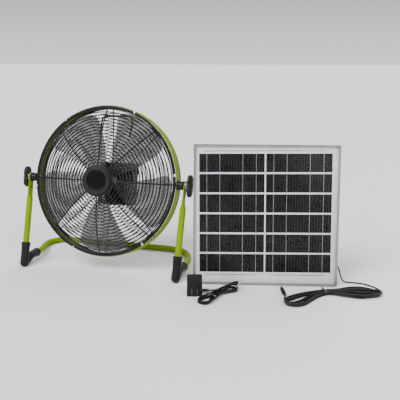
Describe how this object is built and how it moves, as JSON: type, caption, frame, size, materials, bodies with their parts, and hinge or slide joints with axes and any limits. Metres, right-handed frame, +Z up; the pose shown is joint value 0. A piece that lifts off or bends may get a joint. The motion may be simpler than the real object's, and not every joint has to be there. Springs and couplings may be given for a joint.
{
  "type": "portable solar fan kit",
  "caption": "Drum fan tilting in a tube stand, with a framed solar panel on a folding prop, a plug-in adapter and two bundled leads.",
  "frame": {"origin": "on the floor below the middle of the kit's footprint, leads left out", "axes": "+X to the right along the fan's tilt axle, +Y to the rear, +Z up"},
  "size_m": [0.9498, 0.3371, 0.4228],
  "materials": {
    "lime_paint": "gloss enamel",
    "black_plastic": "fine satin texture",
    "black_wire": "satin enamel on steel wire",
    "grey_plate": "dark grey, satin",
    "gloss_badge": "gloss black, blank",
    "smoke_plastic": "smoke-tinted, see-through",
    "bright_steel": "zinc-plated",
    "aluminium_rail": "clear anodised",
    "panel_glass": "clear, low iron",
    "clear_lens": "clear plastic window",
    "solar_cell": "black cells with silver ribbons",
    "white_sheet": "white laminate",
    "circuit_board": "green mask",
    "battery_wrap": "shrink wrap",
    "black_cable": "satin jacket"
  },
  "bodies": {
    "base": {"leg_left": "lime_paint", "leg_right": "lime_paint", "rear_tube": "lime_paint", "foot_left": "black_plastic", "foot_right": "black_plastic", "clamp_washer_left": "bright_steel", "clamp_washer_right": "bright_steel", "panel_frame": "aluminium_rail", "panel_glass": "panel_glass", "cell_sheet": "solar_cell", "back_sheet": "white_sheet", "junction_box": "black_plastic", "junction_lid": "black_plastic", "cable_gland": "black_plastic", "prop_bracket_left": "bright_steel", "prop_bracket_right": "bright_steel", "adapter_body": "black_plastic", "adapter_relief": "black_cable", "adapter_cord": "black_cable", "adapter_hank": "black_cable", "adapter_tail": "black_cable", "adapter_plug": "black_cable", "panel_lead": "black_cable", "lead_hank": "black_cable", "lead_tail": "black_cable", "lead_plug": "black_cable"},
    "head": {"drum_hoop": "lime_paint", "front_grille": "black_wire", "grille_plate": "grey_plate", "grille_badge": "gloss_badge", "grille_screw_1": "bright_steel", "grille_screw_2": "bright_steel", "grille_screw_3": "bright_steel", "grille_screw_4": "bright_steel", "grille_screw_5": "bright_steel", "grille_screw_6": "bright_steel", "rear_grille": "black_wire", "carry_handle": "black_wire", "motor_housing": "black_plastic", "control_box": "black_plastic", "control_cover": "black_plastic", "battery_pack": "battery_wrap", "control_board": "circuit_board", "usb_socket": "bright_steel", "dc_socket": "black_plastic", "charge_lens": "clear_lens", "pivot_boss_left": "black_plastic", "pivot_boss_right": "black_plastic", "clamp_bolt_left": "bright_steel", "clamp_bolt_right": "bright_steel"},
    "rotor": {"fan_blades": "smoke_plastic", "blade_nut": "black_plastic", "motor_shaft": "bright_steel"},
    "knob_left": {"clamp_knob_left": "black_plastic"},
    "knob_right": {"clamp_knob_right": "black_plastic"},
    "dial": {"speed_dial": "black_plastic"},
    "button": {"power_button": "black_plastic"},
    "prop": {"prop_leg": "bright_steel"},
    "pins": {"adapter_pins": "bright_steel"}
  },
  "joints": [
    {"name": "head_tilt", "type": "hinge", "parent": "base", "child": "head", "pos_m": [-0.1757, -0.0021, 0.229], "axis": [1, 0, 0], "range_deg": [-77, 43]},
    {"name": "rotor_spin", "type": "hinge", "parent": "head", "child": "rotor", "pos_m": [-0.1757, -0.0021, 0.229], "axis": [0, 0.9742, -0.2258], "continuous": true},
    {"name": "knob_left_turn", "type": "hinge", "parent": "head", "child": "knob_left", "pos_m": [-0.4057, -0.0021, 0.229], "axis": [-1, 0, 0], "range_deg": [0, 360]},
    {"name": "knob_right_turn", "type": "hinge", "parent": "head", "child": "knob_right", "pos_m": [0.0543, -0.0021, 0.229], "axis": [1, 0, 0], "range_deg": [0, 360]},
    {"name": "dial_turn", "type": "hinge", "parent": "head", "child": "dial", "pos_m": [-0.1757, 0.10493, 0.22883], "axis": [0, -0.9742, 0.2258], "range_deg": [0, 270]},
    {"name": "button_press", "type": "slide", "parent": "head", "child": "button", "axis": [0, -0.9742, 0.2258], "range_m": [0, 0.0015], "stiffness_N_per_m": 400, "springref_m": -0.002},
    {"name": "prop_fold", "type": "hinge", "parent": "base", "child": "prop", "pos_m": [0.23838, 0.01983, 0.24138], "axis": [-0.9778, -0.2096, 0], "range_deg": [0, 19.6]},
    {"name": "pin_fold", "type": "hinge", "parent": "base", "child": "pins", "pos_m": [0.10325, -0.14174, 0.025], "axis": [-0.965, -0.2622, 0], "range_deg": [0, 90]}
  ]
}
